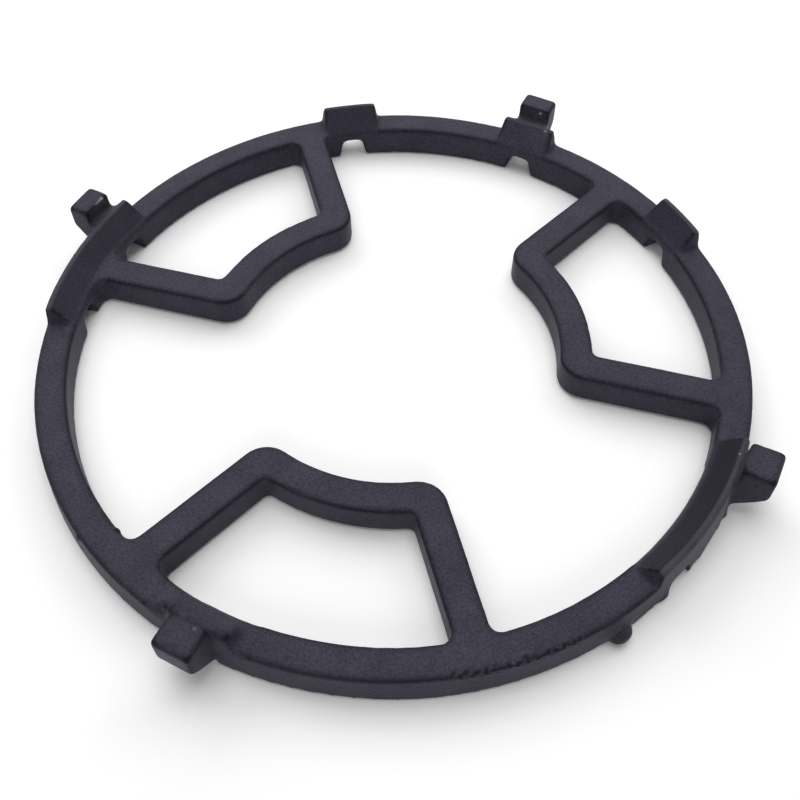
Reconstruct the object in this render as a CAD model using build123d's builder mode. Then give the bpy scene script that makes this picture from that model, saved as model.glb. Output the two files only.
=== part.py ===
from build123d import *
from math import radians, sin, tan
import os

# Ring
ring_outer_radius = 110.25  # at the foot, where it is widest
ring_width = 10.35
ring_height = 10.9
wall_draft = 4.6  # degrees the outer wall leans in towards the top
top_edge_radius = 0.8
foot_outer_radius = 0.8
foot_inner_radius = 1.3

# Loops that reach in towards the middle
loop_count = 3
loop_turn = 11.9  # degrees from the shared finger to the first loop
loop_half_angle = 30.0
loop_inner_radius = 51.5
arm_width = 10.1
arm_lift = 0.7  # the loops stay this far off the foot of the ring
loop_corner_radius = 8.4
loop_window_radius = 2.0
arm_root_radius = 3.0

# Fingers of the hob: one of them lies at the same place in both layouts
shared_angle = 270.0
four_fingers = 4
five_fingers = 5

# Notches under the ring that sit on the fingers
notch_height = 6.3
notch_roof_width = 7.0
notch_mouth_width = 9.8
notch_roof_radius = 1.5
notch_mouth_radius = 1.5
notch_mouth_fall = 10.0  # degrees, so that the rounded mouth runs out under the foot

# Wedge pads above the notches, the long ones above two of them
pad_rise = 5.4
pad_strip = 1.8  # flat strip along the outer edge
pad_inner_margin = 0.3  # level ring top left between the slope and the inner edge round
pad_half_width = 9.4  # on the top, from the finger to the end of the pad
pad_end_draft = 11.0
pad_edge_radius = 0.7

# Lugs outside the ring
lug_width = 11.5
lug_reach = 8.35  # beyond the foot of the ring
lug_length = 7.8  # of the raised end
lug_rise = 4.3  # above the pads
lug_ledge_drop = 0.4  # of the ledge behind the pad
lug_tip_height = 7.8  # of the outer face
lug_corner_radius = 1.2
lug_edge_radius = 0.9

# Stub left where the iron ran in
stub_radius = 2.8
stub_turn = 59.5  # degrees from the shared finger
stub_reach = 2.6
stub_lift = 0.2
stub_edge_radius = 1.6

# Derived sizes
draft_slope = tan(radians(wall_draft))
ring_inner_radius = ring_outer_radius - ring_width
ring_middle_radius = (ring_inner_radius + ring_outer_radius) / 2
window_inner_radius = loop_inner_radius + arm_width
window_apex = arm_width / sin(radians(loop_half_angle))
relief_radius = ring_inner_radius - arm_root_radius / 2
relief_start = loop_inner_radius / 2
pad_top = ring_height + pad_rise
pad_outer_radius = ring_outer_radius - pad_top * draft_slope
pad_strip_radius = pad_outer_radius - pad_strip
pad_slope_radius = ring_inner_radius + top_edge_radius + pad_inner_margin
pad_reach = pad_half_width / pad_outer_radius / radians(1)
gap_inner_radius = (ring_inner_radius + pad_slope_radius) / 2
lug_top = pad_top + lug_rise
lug_outer_radius = ring_outer_radius + lug_reach
lug_step_radius = lug_outer_radius - lug_length
lug_root_radius = (pad_strip_radius + pad_outer_radius) / 2
past_ring = 2 * ring_outer_radius
past_top = 2 * pad_top
notch_start = ring_inner_radius - arm_root_radius * 2 / 3
mouth_run = notch_mouth_width
mouth_drop = mouth_run * tan(radians(notch_mouth_fall))
four_step = 360 / four_fingers
five_step = 360 / five_fingers
loop_step = 360 / loop_count
four_angles = [shared_angle + four_step * turn for turn in range(four_fingers)]
five_angles = [shared_angle + five_step * turn for turn in range(five_fingers)]
loop_angles = [shared_angle + loop_turn + loop_step * turn for turn in range(loop_count)]
finger_angles = four_angles + five_angles[1:]
long_spans = [(five_angles[1], four_angles[1]), (four_angles[3], five_angles[4])]
short_angles = [four_angles[0], five_angles[2], four_angles[2], five_angles[3]]
pad_spans = sorted(long_spans + [(angle, angle) for angle in short_angles])
gap_spans = [(before[1], after[0]) for before, after in zip(pad_spans, pad_spans[1:])]
gap_spans = gap_spans + [(pad_spans[-1][1], pad_spans[0][0] + 360)]


def polar(radius, angle):
    return Vector(radius, 0, 0).rotate(Axis.Z, angle)


def distance_out(place):
    return Vector(place.X, place.Y, 0).length


def radial_plane(angle):
    return Plane(origin=(0, 0, 0), x_dir=polar(1, angle), z_dir=polar(1, angle - 90))


def finger_plane(angle):
    return Plane(origin=polar(notch_start, angle), x_dir=polar(1, angle + 90), z_dir=polar(1, angle))


def pad_end_plane(angle, side):
    outward = polar(1, angle + 90 * side) + Vector(0, 0, tan(radians(pad_end_draft)))
    return Plane(origin=polar(ring_middle_radius, angle) + Vector(0, 0, pad_top), z_dir=outward)


def gap_block(pad_before, pad_after):
    with BuildPart() as gap:
        with BuildSketch(radial_plane(pad_before)):
            with BuildLine():
                Polyline(
                    (gap_inner_radius, ring_height),
                    (past_ring, ring_height),
                    (past_ring, past_top),
                    (gap_inner_radius, past_top),
                    close=True,
                )
            make_face()
        revolve(axis=Axis.Z, revolution_arc=pad_after - pad_before)
        split(bisect_by=pad_end_plane(pad_before + pad_reach, 1), keep=Keep.TOP)
        split(bisect_by=pad_end_plane(pad_after - pad_reach, -1), keep=Keep.TOP)
    return gap.part


def lug_block(angle):
    with BuildPart() as lug:
        with BuildSketch(radial_plane(angle)) as profile:
            with BuildLine():
                Polyline(
                    (lug_root_radius, foot_outer_radius),
                    (lug_outer_radius, lug_top - lug_tip_height),
                    (lug_outer_radius, lug_top),
                    (lug_step_radius, lug_top),
                    (lug_step_radius, pad_top - lug_ledge_drop),
                    (lug_root_radius, pad_top - lug_ledge_drop),
                    close=True,
                )
            make_face()
            fillet(profile.vertices().sort_by(Axis.X)[-2:], lug_corner_radius)
        extrude(amount=lug_width / 2, both=True)
        sides = lug.faces().filter_by(Plane(origin=(0, 0, 0), z_dir=polar(1, angle + 90)))
        rounded = sides.edges().filter_by(lambda edge: distance_out(edge.center()) > lug_step_radius + lug_edge_radius)
        fillet(rounded, lug_edge_radius)
    return lug.part


def stub_block(angle):
    root = polar(ring_middle_radius, angle) + Vector(0, 0, stub_radius + stub_lift)
    with BuildPart() as stub:
        with BuildSketch(Plane(origin=root, z_dir=polar(1, angle))):
            Circle(stub_radius)
        extrude(amount=ring_outer_radius + stub_reach - ring_middle_radius)
        fillet(stub.faces().sort_by(lambda face: distance_out(face.center()))[-1].edges(), stub_edge_radius)
    return stub.part


def centre_opening():
    with BuildSketch() as opening:
        Circle(ring_inner_radius)
        for angle in loop_angles:
            with BuildLine():
                near = CenterArc((0, 0), loop_inner_radius, angle - loop_half_angle, 2 * loop_half_angle)
                far = CenterArc((0, 0), ring_outer_radius, angle - loop_half_angle, 2 * loop_half_angle)
                Line(near @ 0, far @ 0)
                Line(near @ 1, far @ 1)
            make_face(mode=Mode.SUBTRACT)
        corners = opening.vertices().sort_by(distance_out)
        fillet(corners[: 2 * loop_count], loop_corner_radius)
        corners = opening.vertices().sort_by(distance_out)
        fillet(corners[-2 * loop_count :], arm_root_radius)
    return opening.sketch


def loop_window(angle):
    with BuildSketch() as window:
        with BuildLine():
            apex = polar(window_apex, angle)
            left = apex + polar(past_ring, angle + loop_half_angle)
            right = apex + polar(past_ring, angle - loop_half_angle)
            Polyline(apex, left, right, close=True)
        make_face()
        Circle(ring_inner_radius, mode=Mode.INTERSECT)
        Circle(window_inner_radius, mode=Mode.SUBTRACT)
        fillet(window.vertices().sort_by(distance_out)[:2], loop_window_radius)
        fillet(window.vertices().sort_by(distance_out)[-2:], arm_root_radius)
    return window.sketch


gaps = [gap_block(before, after) for before, after in gap_spans]
lugs = [lug_block(angle) for angle in four_angles]
stub = stub_block(shared_angle + stub_turn)
openings = [centre_opening()] + [loop_window(angle) for angle in loop_angles]

with BuildPart() as pan_support:
    # Loops and the inside of the ring
    with BuildSketch():
        Circle(ring_middle_radius)
        for opening in openings:
            add(opening, mode=Mode.SUBTRACT)
    extrude(amount=ring_height)

    # Ring with the pads' wedge section all the way round, cut down between the pads
    with BuildSketch(Plane.XZ) as section:
        with BuildLine():
            Polyline(
                (pad_slope_radius, 0),
                (ring_outer_radius, 0),
                (pad_outer_radius, pad_top),
                (pad_strip_radius, pad_top),
                (pad_slope_radius, ring_height),
                close=True,
            )
        make_face()
        fillet(section.vertices().sort_by(Axis.X)[-1:], foot_outer_radius)
    revolve(axis=Axis.Z)
    for block in gaps:
        add(block, mode=Mode.SUBTRACT)

    # Long edges of the ring, its loops and its pads
    ring_top = pan_support.faces().filter_by(Plane.XY).group_by(Axis.Z)[-2].sort_by(SortBy.AREA)[-1]
    outer_arcs = ring_top.outer_wire().edges().filter_by(
        lambda edge: distance_out(edge @ 0.5) > pad_outer_radius and edge.geom_type == GeomType.CIRCLE
    )
    inner_edges = [edge for wire in ring_top.inner_wires() for edge in wire.edges()]
    fillet(list(outer_arcs) + inner_edges, top_edge_radius)
    pad_tops = pan_support.faces().filter_by(Plane.XY).group_by(Axis.Z)[-1]
    fillet([edge for face in pad_tops for edge in face.edges()], pad_edge_radius)
    foot_edges = pan_support.faces().sort_by(Axis.Z)[0].edges()
    fillet(foot_edges.filter_by(lambda edge: distance_out(edge @ 0.5) < ring_middle_radius), foot_inner_radius)

    # Relief under the loops, which runs out just inside the ring
    with BuildSketch(Plane.XZ):
        with BuildLine():
            Polyline(
                (relief_start, arm_lift),
                (relief_radius, arm_lift),
                (relief_radius + 2 * arm_lift, -arm_lift),
                (relief_start, -arm_lift),
                close=True,
            )
        make_face()
    revolve(axis=Axis.Z, mode=Mode.SUBTRACT)

    # Lugs, and the stub left by the running in of the iron
    for block in lugs:
        add(block)
    add(stub)

    # Notches, each along its finger
    with BuildSketch(*[finger_plane(angle) for angle in finger_angles]) as notch:
        with BuildLine():
            Polyline(
                (-notch_mouth_width / 2 - mouth_run, -mouth_drop),
                (-notch_mouth_width / 2, 0),
                (-notch_roof_width / 2, notch_height),
                (notch_roof_width / 2, notch_height),
                (notch_mouth_width / 2, 0),
                (notch_mouth_width / 2 + mouth_run, -mouth_drop),
                close=True,
            )
        make_face()
        fillet(notch.vertices().sort_by(Axis.Y)[2:4], notch_mouth_radius)
        fillet(notch.vertices().sort_by(Axis.Y)[-2:], notch_roof_radius)
    extrude(amount=past_ring - notch_start, mode=Mode.SUBTRACT)

os.makedirs("parts", exist_ok=True)
pan_support.part.label = "pan_support"
export_step(pan_support.part, "parts/pan_support.step")
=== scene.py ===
import math

import bmesh
import bpy
import numpy as np
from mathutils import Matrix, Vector, noise


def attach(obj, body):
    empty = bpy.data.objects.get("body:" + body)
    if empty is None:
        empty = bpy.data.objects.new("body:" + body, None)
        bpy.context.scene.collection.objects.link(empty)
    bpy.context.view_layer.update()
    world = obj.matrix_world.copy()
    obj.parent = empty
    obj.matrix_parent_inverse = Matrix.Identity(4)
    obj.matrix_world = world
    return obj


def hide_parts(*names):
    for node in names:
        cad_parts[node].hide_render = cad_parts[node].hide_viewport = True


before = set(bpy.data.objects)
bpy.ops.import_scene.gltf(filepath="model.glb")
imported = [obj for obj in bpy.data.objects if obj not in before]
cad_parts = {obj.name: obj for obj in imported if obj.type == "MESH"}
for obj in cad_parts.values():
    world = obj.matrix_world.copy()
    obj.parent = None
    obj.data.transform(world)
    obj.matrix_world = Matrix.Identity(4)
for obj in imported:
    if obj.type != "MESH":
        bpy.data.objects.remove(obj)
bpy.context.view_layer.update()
scene = bpy.context.scene
perMetre = 1000                # forms are set in mm, meshes are in metres

castingSettings = {            # bearings in degrees, radii and heights in mm
    "node": "pan_support",
    "weld": 1e-6,              # metres
    "voxel": 0.00038,          # metres, fine enough for the 0.7 mm rounds on the pads
    "triangles": 190000,
    "flatFoot": 0.0003,        # metres, skin below this stays flat on the floor
    "zoneFade": 1.2,           # mm
    "lugs": (0, 90, 180, 270),
    "pads": (                  # middle, half width, painted shade on the slope, polish on the strip, rise in mm
        (270, 4.9, 0.0, 0.0, 0.0),
        (54, 4.9, 0.5, 1.0, 0.65),
        (90, 4.9, 0.0, 1.0, 0.75),
        (126, 4.9, 0.35, 1.0, 0.65),
        (351, 13.9, 1.0, 1.0, 0.2),
        (189, 13.9, 0.5, 1.0, 0.2),
    ),
    "padRise": {
        "foot": 10.9,          # top of the ring
        "reach": 5.4,          # from there to the flat strip
        "ringEdge": 110.2,     # lugs beyond it keep their height
        "withLug": 90,         # but this one rises with its pad
        "past": 1.6,           # degrees beyond the pad's ends
    },
    "longLugs": {              # two lugs whose raised end came out longer
        "bearings": (0, 270),
        "half": 3.2,
        "heights": (15.0, 15.8),
        "radii": (108.3, 110.8, 117.0),
        "shifts": (0.0, 2.0, 0.0),     # mm towards the middle
        "deeper": 1.1,                 # mm at the underside of the tip
        "tipRadii": (111, 116),
        "tipHeights": (13, 16),
    },
    "softening": {             # zones end with their share of the passes
        "passes": 80,
        "step": 0.5,
        "overall": 0.18,       # share that the whole skin gets
        "padFeet": (97.5, 104.0, 6.0, 13.0, 0.75),             # radii, heights
        "lugRoots": (4.0, 104.5, 113.0, 12.5, 21.5, 0.30),     # half width, radii, heights
        "spots": (                                             # bearing, half width, radii, heights
            (264.8, 3.2, 98.0, 111.5, 9.5, 17.0, 1.6),
            (275.4, 1.8, 99.5, 110.5, 9.5, 17.0, 0.8),
            (329.2, 2.8, 108.0, 114.0, 0.0, 9.0, 0.5),
        ),
    },
    "waves": (                 # mm: spacing, depth and start of the unevenness left by the sand
        (28.0, 0.10, 3.0),
        (7.0, 0.035, 17.0),
    ),
    "marks": (                 # bearing, radius, height, spread and push in mm
        (329.6, 110.5, 3.4, 2.6, 0.60),    # where the iron ran in
        (328.4, 110.0, 6.0, 2.4, 1.00),
        (330.6, 110.0, 4.6, 2.0, 0.60),
        (263.8, 106.8, 10.9, 1.5, 0.35),   # pit with a raised rim
        (263.8, 106.8, 10.9, 0.7, -1.00),
        (86.5, 106.9, 16.6, 0.9, -0.50),   # chipped pad corner
        (245.9, 109.3, 9.4, 0.7, 0.50),    # burrs on the ring
        (248.9, 99.9, 10.6, 0.7, 0.60),
        (339.3, 109.9, 1.2, 1.3, 0.55),    # burrs at the notches
        (343.9, 109.9, 1.2, 1.1, 0.45),
        (356.0, 110.2, 1.2, 1.3, 0.45),
    ),
    "patchStart": 7.0,
    "patches": (               # bearing, half width, radii, heights, then spacing and push in mm
        (343, 15, 109.0, 112.0, 0.0, 1.8, 2.6, 0.55),      # ragged foot on one side
        (314, 9, 107.8, 110.0, 9.8, 11.4, 1.3, 0.30),      # chipped top edge
    ),
    "masks": {
        "roundBend": 0.55,     # bend per mm that counts as a full edge
        "hollowBend": 0.6,
        "strip": (107.3, 109.3, 15.7, 17.4),       # radii, heights
        "stripFade": 0.5,
        # painted shade on the pad slopes
        "slopeShade": (101.5, 106.6, 11.0, 17.0),
        "slopeShadeFade": 0.6,
        "slopeShadeInset": 0.3,      # degrees
    },
}


def castingCopy(settings):
    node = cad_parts[settings["node"]]
    piece = bpy.data.objects.new("ironCasting", node.data.copy())
    scene.collection.objects.link(piece)
    piece.data.materials.clear()
    bm = bmesh.new()
    bm.from_mesh(piece.data)
    bmesh.ops.remove_doubles(bm, verts=bm.verts, dist=settings["weld"])
    bm.to_mesh(piece.data)
    bm.free()
    remesh = piece.modifiers.new("evenSkin", "REMESH")
    remesh.mode = "VOXEL"
    remesh.voxel_size = settings["voxel"]
    bakeModifiers(piece)
    return piece


def bakeModifiers(piece):
    depsgraph = bpy.context.evaluated_depsgraph_get()
    old = piece.data
    piece.data = bpy.data.meshes.new_from_object(piece.evaluated_get(depsgraph))
    piece.modifiers.clear()
    bpy.data.meshes.remove(old)


def readVectors(mesh, what):
    items = getattr(mesh, what)
    key = "co" if what == "vertices" else "vector"
    values = np.zeros(len(items) * 3)
    items.foreach_get(key, values)
    return values.reshape(-1, 3)


def readEdges(mesh):
    pairs = np.zeros(len(mesh.edges) * 2, dtype=np.int32)
    mesh.edges.foreach_get("vertices", pairs)
    return pairs.reshape(-1, 2).T


def writePlaces(mesh, places):
    mesh.vertices.foreach_set("co", places.ravel())
    mesh.update()


def gather(first, second, atFirst, atSecond, size):
    return np.bincount(first, atFirst, size) + np.bincount(second, atSecond, size)


def spread(values, first, second):
    return gather(first, second, values[second], values[first], len(values))


def neighbours(size, first, second):
    return np.maximum(spread(np.ones(size), first, second), 1)


def ringPlaces(places):
    radius = np.hypot(places[:, 0], places[:, 1]) * perMetre
    bearing = np.degrees(np.arctan2(places[:, 1], places[:, 0]))
    return bearing, radius, places[:, 2] * perMetre


def aside(bearing, middle):
    return np.abs((bearing - middle + 180) % 360 - 180)


def zoneWeight(ring, zone, fade):
    bearing, radius, height = ring
    middle, half, inner, outer, low, high = zone
    past = np.maximum(aside(bearing, middle) - half, 0) * math.radians(1) * radius
    past = np.maximum(past, np.maximum(inner - radius, radius - outer))
    past = np.maximum(past, np.maximum(low - height, height - high))
    return np.clip(1 - past / fade, 0, 1)


def markPlace(bearing, radius, height):
    around = math.radians(bearing)
    return np.array((radius * math.cos(around), radius * math.sin(around), height))


def markWeight(places, bearing, radius, height, size):
    away = places * perMetre - markPlace(bearing, radius, height)
    return np.exp(-(away ** 2).sum(axis=1) / (2 * size ** 2))


def noiseAt(places, spacing, start):
    return np.array([noise.noise(Vector(spot)) for spot in places * perMetre / spacing + start])


def lengthenLugs(piece, settings):
    mesh = piece.data
    places = readVectors(mesh, "vertices")
    bearing, radius, height = ringPlaces(places)
    nearest = np.min([aside(bearing, middle) for middle in settings["bearings"]], axis=0)
    onLug = nearest < settings["half"]
    shift = onLug * np.interp(radius, settings["radii"], settings["shifts"])
    shift = shift * np.interp(height, settings["heights"], (0, 1))
    sink = onLug * settings["deeper"] * np.interp(radius, settings["tipRadii"], (0, 1))
    sink = sink * np.interp(height, settings["tipHeights"], (1, 0))
    places[:, :2] *= (1 - shift / np.maximum(radius, 1))[:, None]
    places[:, 2] -= sink / perMetre
    writePlaces(mesh, places)


def raisePads(piece, pads, settings):
    mesh = piece.data
    places = readVectors(mesh, "vertices")
    bearing, radius, height = ringPlaces(places)
    share = np.clip((height - settings["foot"]) / settings["reach"], 0, 1)
    onRing = np.clip(settings["ringEdge"] - radius, 0, 1)
    for middle, half, slopeShade, polish, rise in pads:
        near = aside(bearing, middle) < half + settings["past"]
        lifted = share if middle == settings["withLug"] else share * onRing
        places[near, 2] += rise / perMetre * lifted[near]
    writePlaces(mesh, places)


def softZones(settings):
    softening = settings["softening"]
    padFeet = [(middle, half, *softening["padFeet"]) for middle, half, *otherColumns in settings["pads"]]
    lugRoots = [(bearing, *softening["lugRoots"]) for bearing in settings["lugs"]]
    return [*padFeet, *lugRoots, *softening["spots"]]


def softenSkin(piece, settings):
    softening = settings["softening"]
    mesh = piece.data
    places = readVectors(mesh, "vertices")
    first, second = readEdges(mesh)
    count = neighbours(len(places), first, second)
    ring = ringPlaces(places)
    weight = np.full(len(places), softening["overall"])
    for *zone, passShare in softZones(settings):
        weight = np.maximum(weight, passShare * zoneWeight(ring, zone, settings["zoneFade"]))
    weight[places[:, 2] < settings["flatFoot"]] = 0
    for turn in range(softening["passes"]):
        middle = np.stack([spread(places[:, axis], first, second) / count for axis in range(3)], axis=1)
        places = places + (middle - places) * (softening["step"] * weight)[:, None]
    writePlaces(mesh, places)


def roughenSkin(piece, settings):
    mesh = piece.data
    places = readVectors(mesh, "vertices")
    normals = readVectors(mesh, "vertex_normals")
    ring = ringPlaces(places)
    shift = np.zeros(len(places))
    for spacing, depth, start in settings["waves"]:
        shift += depth * noiseAt(places, spacing, start)
    for bearing, radius, height, size, push in settings["marks"]:
        shift += push * markWeight(places, bearing, radius, height, size)
    for *zone, spacing, push in settings["patches"]:
        weight = zoneWeight(ring, zone, settings["zoneFade"])
        near = weight > 0
        shift[near] += push * weight[near] * noiseAt(places[near], spacing, settings["patchStart"])
    shift[places[:, 2] < settings["flatFoot"]] = 0
    places = places + normals * shift[:, None] / perMetre
    places[:, 2] = np.maximum(places[:, 2], 0)
    writePlaces(mesh, places)


def thinTriangles(piece, limit):
    count = sum(len(face.vertices) - 2 for face in piece.data.polygons)
    if count <= limit:
        return
    fewer = piece.modifiers.new("fewerFaces", "DECIMATE")
    fewer.ratio = limit / count
    bakeModifiers(piece)


def skinBend(mesh, places):
    shortest = 1e-9            # metres, no edge counts as shorter
    normals = readVectors(mesh, "vertex_normals")
    first, second = readEdges(mesh)
    along = places[second] - places[first]
    length = np.maximum(np.linalg.norm(along, axis=1), shortest)
    turn = np.einsum("ij,ij->i", normals[second] - normals[first], along)
    bend = turn / length ** 2 / perMetre
    count = neighbours(len(places), first, second)
    bend = gather(first, second, bend, bend, len(places)) / count
    return (bend + spread(bend, first, second) / count) / 2


def writeMask(mesh, name, values):
    layer = mesh.attributes.new(name, "FLOAT", "POINT")
    layer.data.foreach_set("value", np.clip(values, 0, 1).astype(np.float32))


def edgeMasks(piece, pads, settings):
    mesh = piece.data
    places = readVectors(mesh, "vertices")
    bend = skinBend(mesh, places)
    ring = ringPlaces(places)
    strip, slopeShadeMask = np.zeros(len(places)), np.zeros(len(places))
    for middle, half, slopeShade, polish, rise in pads:
        onStrip = zoneWeight(ring, (middle, half, *settings["strip"]), settings["stripFade"])
        # painted shade on the pad slopes, a share per pad
        slope = (middle, half - settings["slopeShadeInset"], *settings["slopeShade"])
        strip = np.maximum(strip, polish * onStrip)
        slopeShadeMask = np.maximum(slopeShadeMask, slopeShade * zoneWeight(ring, slope, settings["slopeShadeFade"]))
    writeMask(mesh, "padStrip", strip)
    # painted shade on the rounded edges, kept off the pad strips
    writeMask(mesh, "edgeOut", bend / settings["roundBend"] * (1 - strip))
    # painted shade in the hollows and on the pad slopes
    writeMask(mesh, "edgeIn", np.maximum(-bend / settings["hollowBend"], slopeShadeMask))


mixSockets = {"share": 0, "under": 6, "over": 7, "mixed": 2}   # color sockets of a mix node


def link(material, fromNode, fromSocket, toNode, toSocket):
    material.node_tree.links.new(fromNode.outputs[fromSocket], toNode.inputs[toSocket])


def addNode(material, kind, label, place):
    node = material.node_tree.nodes.new(kind)
    node.label = label
    node.location = place
    return node


def setRange(node, side, limits):
    node.inputs[side + " Min"].default_value, node.inputs[side + " Max"].default_value = limits


def mixColors(material, label, place, blend="MIX"):
    node = addNode(material, "ShaderNodeMix", label, place)
    node.data_type = "RGBA"
    node.blend_type = blend
    return node


def seenPlainly(material, place):
    path = addNode(material, "ShaderNodeLightPath", "seen or shining", (place[0] - 400, place[1]))
    mirrored = addNode(material, "ShaderNodeMath", "seen or mirrored", (place[0] - 200, place[1]))
    link(material, path, "Is Camera Ray", mirrored, 0)
    link(material, path, "Is Glossy Ray", mirrored, 1)
    plain = addNode(material, "ShaderNodeMath", "or seen through", place)
    plain.use_clamp = True
    link(material, mirrored, "Value", plain, 0)
    link(material, path, "Is Transmission Ray", plain, 1)
    return plain


ironSettings = {
    "body": (0.0398, 0.0388, 0.0552),
    # painted shade in the hollow edges and on the pad slopes
    "hollowShade": (0.0140, 0.0134, 0.0192),
    "edge": (0.0045, 0.0043, 0.0065),      # painted shade on the rounded edges
    "strip": (0.0620, 0.0610, 0.0700),     # where pans slide on the pads
    "rubbed": (0.3000, 0.2950, 0.3000),
    "sheen": (0.81, 0.79, 1.0),            # the black finish shines a little blue
    "specular": 0.14,
    "matt": (0.36, 0.54),
    "mottleScale": 120.0,
    "mottleDetail": 4,
    "mottleTones": (0.86, 1.14),
    "grainScale": 1450.0,      # per metre, sand grain under the black finish
    "grainDetail": 3,
    "grainTones": (0.65, 1.35),
    "grainBump": 0.5,
    "grainDepth": 0.00045,     # metres
    "noiseSpan": (0.3, 0.7),   # where most of the noise lies
    "rubFade": (2, 0.5),       # times the spread: where a rub starts and is full
    "rubs": (                  # bearing, radius, height and spread in mm, strength
        (178.5, 111.3, 20.5, 0.42, 0.9),
        (178.9, 111.3, 20.5, 0.40, 0.6),
        (179.3, 111.2, 20.5, 0.40, 0.5),
        (179.7, 111.2, 20.5, 0.38, 0.4),
        (180.1, 111.2, 20.5, 0.36, 0.3),
        (1.6, 106.9, 16.5, 0.35, 0.9),
        (271.2, 110.4, 20.6, 0.36, 0.25),
        (87.0, 111.0, 15.1, 0.40, 0.7),
        (88.7, 110.9, 20.1, 0.40, 0.7),
        (86.6, 107.2, 16.5, 0.40, 0.6),
    ),
}


def addNoise(material, label, place, spot, scale, detail):
    texture = addNode(material, "ShaderNodeTexNoise", label, place)
    texture.inputs["Scale"].default_value = scale
    texture.inputs["Detail"].default_value = detail
    link(material, spot, "Object", texture, "Vector")
    return texture


def maskNode(material, label, place, name):
    mask = addNode(material, "ShaderNodeAttribute", label, place)
    mask.attribute_name = name
    return mask


def noiseTones(material, label, place, texture, span, tones):
    node = addNode(material, "ShaderNodeMapRange", label, place)
    setRange(node, "From", span)
    setRange(node, "To", tones)
    link(material, texture, "Fac", node, "Value")
    return node


def shadeBy(material, label, place, tones):
    node = mixColors(material, label, place, "MULTIPLY")
    node.inputs[mixSockets["share"]].default_value = 1
    link(material, tones, "Result", node, mixSockets["over"])
    return node


def coatOver(material, label, place, under, share, shareSocket, color):
    coat = mixColors(material, label, place)
    coat.inputs[mixSockets["over"]].default_value = (*color, 1)
    link(material, share, shareSocket, coat, mixSockets["share"])
    link(material, under, mixSockets["mixed"], coat, mixSockets["under"])
    return coat


def rubbedSpot(material, spot, under, rub, settings):
    bearing, radius, height, size, strength = rub
    away = addNode(material, "ShaderNodeVectorMath", "away from the spot", (-600, 900))
    away.operation = "DISTANCE"
    away.inputs[1].default_value = markPlace(bearing, radius, height) / perMetre
    link(material, spot, "Object", away, 0)
    fade = addNode(material, "ShaderNodeMapRange", "spot", (-400, 900))
    fade.interpolation_type = "SMOOTHSTEP"
    setRange(fade, "From", [size / perMetre * share for share in settings["rubFade"]])
    setRange(fade, "To", (0, strength))
    link(material, away, "Value", fade, "Value")
    return coatOver(material, "rubbed", (-200, 900), under, fade, "Result", settings["rubbed"])


def blackIron(settings):
    material = bpy.data.materials.new("blackCastIron")
    material.use_nodes = True
    shader = material.node_tree.nodes["Principled BSDF"]
    shader.inputs["Specular IOR Level"].default_value = settings["specular"]
    shader.inputs["Specular Tint"].default_value = (*settings["sheen"], 1)

    spot = addNode(material, "ShaderNodeTexCoord", "place on the casting", (-1400, 0))
    mottle = addNoise(
        material, "uneven black", (-1150, 250), spot, settings["mottleScale"], settings["mottleDetail"])
    grain = addNoise(
        material, "sand grain", (-1150, -50), spot, settings["grainScale"], settings["grainDetail"])
    outer = maskNode(material, "rounded edges", (-1150, 550), "edgeOut")
    inner = maskNode(material, "hollow edges", (-1150, 750), "edgeIn")
    strip = maskNode(material, "pad strips", (-1150, 950), "padStrip")

    span = settings["noiseSpan"]
    shade = noiseTones(material, "mottle range", (-900, 250), mottle, span, settings["mottleTones"])
    base = shadeBy(material, "body", (-650, 250), shade)
    base.inputs[mixSockets["under"]].default_value = (*settings["body"], 1)
    speck = noiseTones(material, "grain range", (-900, 0), grain, span, settings["grainTones"])
    grained = shadeBy(material, "grained body", (-540, 150), speck)
    link(material, base, mixSockets["mixed"], grained, mixSockets["under"])

    # painted shade: the hollows and the pad slopes turn darker
    hollowShaded = coatOver(material, "painted hollow shade", (-420, 300), grained, inner, "Fac", settings["hollowShade"])
    # painted shade: the rounded edges turn darker
    edged = coatOver(material, "dark edges", (-310, 300), hollowShaded, outer, "Fac", settings["edge"])
    bare = addNode(material, "ShaderNodeMath", "broken strip", (-650, 600))
    bare.operation = "MULTIPLY"
    link(material, strip, "Fac", bare, 0)
    link(material, mottle, "Fac", bare, 1)
    color = coatOver(material, "polished strip", (-250, 300), edged, bare, "Value", settings["strip"])
    for rub in settings["rubs"]:
        color = rubbedSpot(material, spot, color, rub, settings)
    link(material, color, mixSockets["mixed"], shader, "Base Color")

    rough = noiseTones(material, "matt range", (-650, -50), grain, (0, 1), settings["matt"])
    link(material, rough, "Result", shader, "Roughness")
    bump = addNode(material, "ShaderNodeBump", "grain relief", (-420, -200))
    bump.inputs["Strength"].default_value = settings["grainBump"]
    bump.inputs["Distance"].default_value = settings["grainDepth"]
    link(material, grain, "Fac", bump, "Height")
    link(material, bump, "Normal", shader, "Normal")
    return material


floorSettings = {
    "size": 8.0,
    "drop": 0.00005,               # metres below the foot
    "bounce": (0.96, 0.96, 1.0),
    "shown": (1.12, 1.12, 1.12),   # what the camera sees where no shadow falls
    "fade": (0.22, 0.45),          # metres from the middle
}


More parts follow.
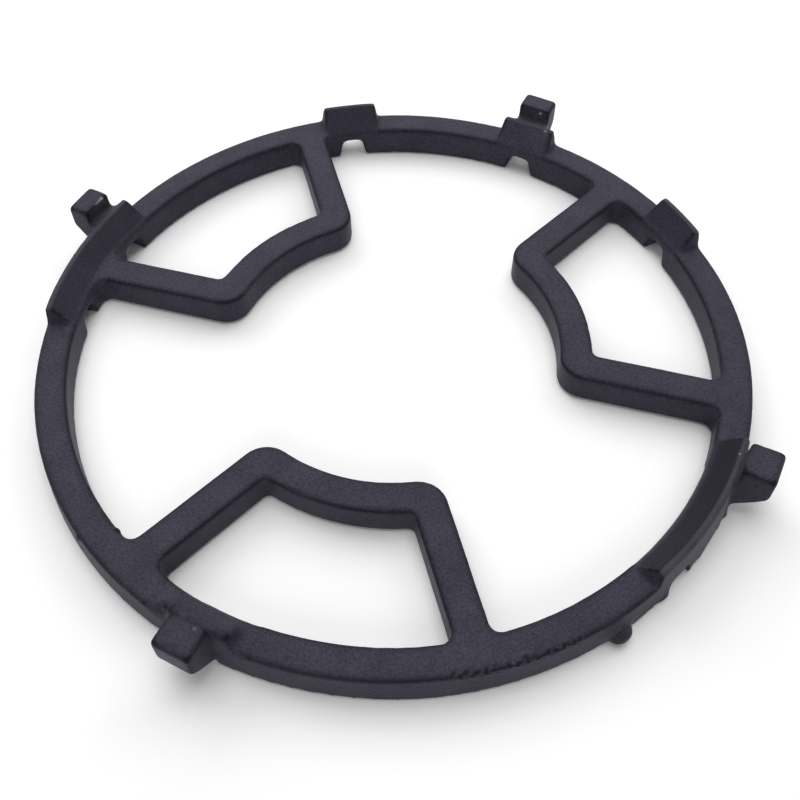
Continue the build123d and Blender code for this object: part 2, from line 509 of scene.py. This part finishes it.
def tableWhite(settings):
    material = bpy.data.materials.new("whiteTable")
    material.use_nodes = True
    material.node_tree.nodes.remove(material.node_tree.nodes["Principled BSDF"])
    path = addNode(material, "ShaderNodeLightPath", "seen or bounced", (-700, 0))
    tint = mixColors(material, "table white", (-450, 0))
    tint.inputs[mixSockets["under"]].default_value = (*settings["bounce"], 1)
    tint.inputs[mixSockets["over"]].default_value = (*settings["shown"], 1)
    matt = addNode(material, "ShaderNodeBsdfDiffuse", "matt table", (-200, 0))
    link(material, path, "Is Camera Ray", tint, mixSockets["share"])
    link(material, tint, mixSockets["mixed"], matt, "Color")

    spot = addNode(material, "ShaderNodeTexCoord", "place on the table", (-950, -300))
    away = addNode(material, "ShaderNodeVectorMath", "away from the middle", (-700, -300))
    away.operation = "LENGTH"
    link(material, spot, "Object", away, 0)
    fade = addNode(material, "ShaderNodeMapRange", "runs out into white", (-450, -300))
    fade.interpolation_type = "SMOOTHSTEP"
    setRange(fade, "From", settings["fade"])
    link(material, away, "Value", fade, "Value")
    seen = addNode(material, "ShaderNodeMath", "only as seen", (-200, -300))
    seen.operation = "MULTIPLY"
    link(material, fade, "Result", seen, 0)
    link(material, seenPlainly(material, (-450, -550)), "Value", seen, 1)
    white = addNode(material, "ShaderNodeEmission", "white", (-200, -150))
    table = addNode(material, "ShaderNodeMixShader", "table", (50, 0))
    link(material, seen, "Value", table, 0)
    link(material, matt, "BSDF", table, 1)
    link(material, white, "Emission", table, 2)
    link(material, table, "Shader", material.node_tree.nodes["Material Output"], "Surface")
    return material


def whiteFloor(settings):
    half = settings["size"] / 2
    corners = [(-half, -half, 0), (half, -half, 0), (half, half, 0), (-half, half, 0)]
    mesh = bpy.data.meshes.new("studioFloor")
    mesh.from_pydata(corners, [], [(0, 1, 2, 3)])
    mesh.materials.append(tableWhite(settings))
    floor = bpy.data.objects.new("studioFloor", mesh)
    floor.location.z = -settings["drop"]
    scene.collection.objects.link(floor)


lightSettings = {
    "sky": 0.10,
    "skyColor": (1.0, 1.0, 1.0),
    "distance": 1.3,
    "mirrored": ("back",),     # the others are too even to show in the iron
    "boxes": {                 # bearing, height in degrees, size in metres, watts
        "overhead": (117.8, 88, 0.9, 6.85),
        "back": (123.8, 50, 0.9, 2.95),
        "front": (-62.2, 30, 0.7, 3.75),
        "backLeft": (162.8, 40, 0.8, 3.90),
        "backRight": (72.8, 40, 0.8, 3.35),
        "backLow": (117.8, 22, 0.8, 2.07),
    },
}


def lightTent(settings):
    world = bpy.data.worlds.new("lightTent")
    scene.world = world
    world.use_nodes = True
    sky = world.node_tree.nodes["Background"]
    sky.inputs["Color"].default_value = (*settings["skyColor"], 1)
    sky.inputs["Strength"].default_value = settings["sky"]
    white = addNode(world, "ShaderNodeBackground", "white as seen", (0, -200))
    white.inputs["Color"].default_value = (1, 1, 1, 1)
    tent = addNode(world, "ShaderNodeMixShader", "tent", (250, 100))
    link(world, seenPlainly(world, (0, 300)), "Value", tent, 0)
    link(world, sky, "Background", tent, 1)
    link(world, white, "Background", tent, 2)
    link(world, tent, "Shader", world.node_tree.nodes["World Output"], "Surface")


def softboxes(settings):
    for name, (bearing, height, size, power) in settings["boxes"].items():
        lamp = bpy.data.lights.new(name + "Softbox", "AREA")
        lamp.energy = power
        lamp.size = size
        box = bpy.data.objects.new(name + "Softbox", lamp)
        around, up = math.radians(bearing), math.radians(height)
        away = Vector((math.cos(up) * math.cos(around), math.cos(up) * math.sin(around), math.sin(up)))
        box.location = away * settings["distance"]
        box.rotation_euler = (-away).to_track_quat("-Z", "Y").to_euler()
        box.visible_glossy = name in settings["mirrored"]
        scene.collection.objects.link(box)


cameraSettings = {
    "place": (0.09204, -0.17456, 0.24935),
    "turn": (36.096, 0.137, 27.060),   # degrees
    "lens": 44.79,
    "sensor": 36,
    "nearest": 0.01,           # metres
}


def photoCamera(settings):
    lens = bpy.data.cameras.new("photoCamera")
    lens.lens = settings["lens"]
    lens.sensor_width = settings["sensor"]
    lens.clip_start = settings["nearest"]
    camera = bpy.data.objects.new("photoCamera", lens)
    camera.location = settings["place"]
    camera.rotation_euler = [math.radians(angle) for angle in settings["turn"]]
    scene.collection.objects.link(camera)
    scene.camera = camera


scene.view_settings.view_transform = "Standard"
photoCamera(cameraSettings)
lightTent(lightSettings)
softboxes(lightSettings)
whiteFloor(floorSettings)
print("camera, light and floor are set")

casting = castingCopy(castingSettings)
print("casting copied,", len(casting.data.vertices), "vertices")
lengthenLugs(casting, castingSettings["longLugs"])
raisePads(casting, castingSettings["pads"], castingSettings["padRise"])
softenSkin(casting, castingSettings)
roughenSkin(casting, castingSettings)
thinTriangles(casting, castingSettings["triangles"])
print("skin roughened,", len(casting.data.polygons), "faces")
edgeMasks(casting, castingSettings["pads"], castingSettings["masks"])
casting.data.materials.append(blackIron(ironSettings))
for face in casting.data.polygons:
    face.use_smooth = True
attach(casting, "root")
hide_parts("pan_support")
print("black iron applied")
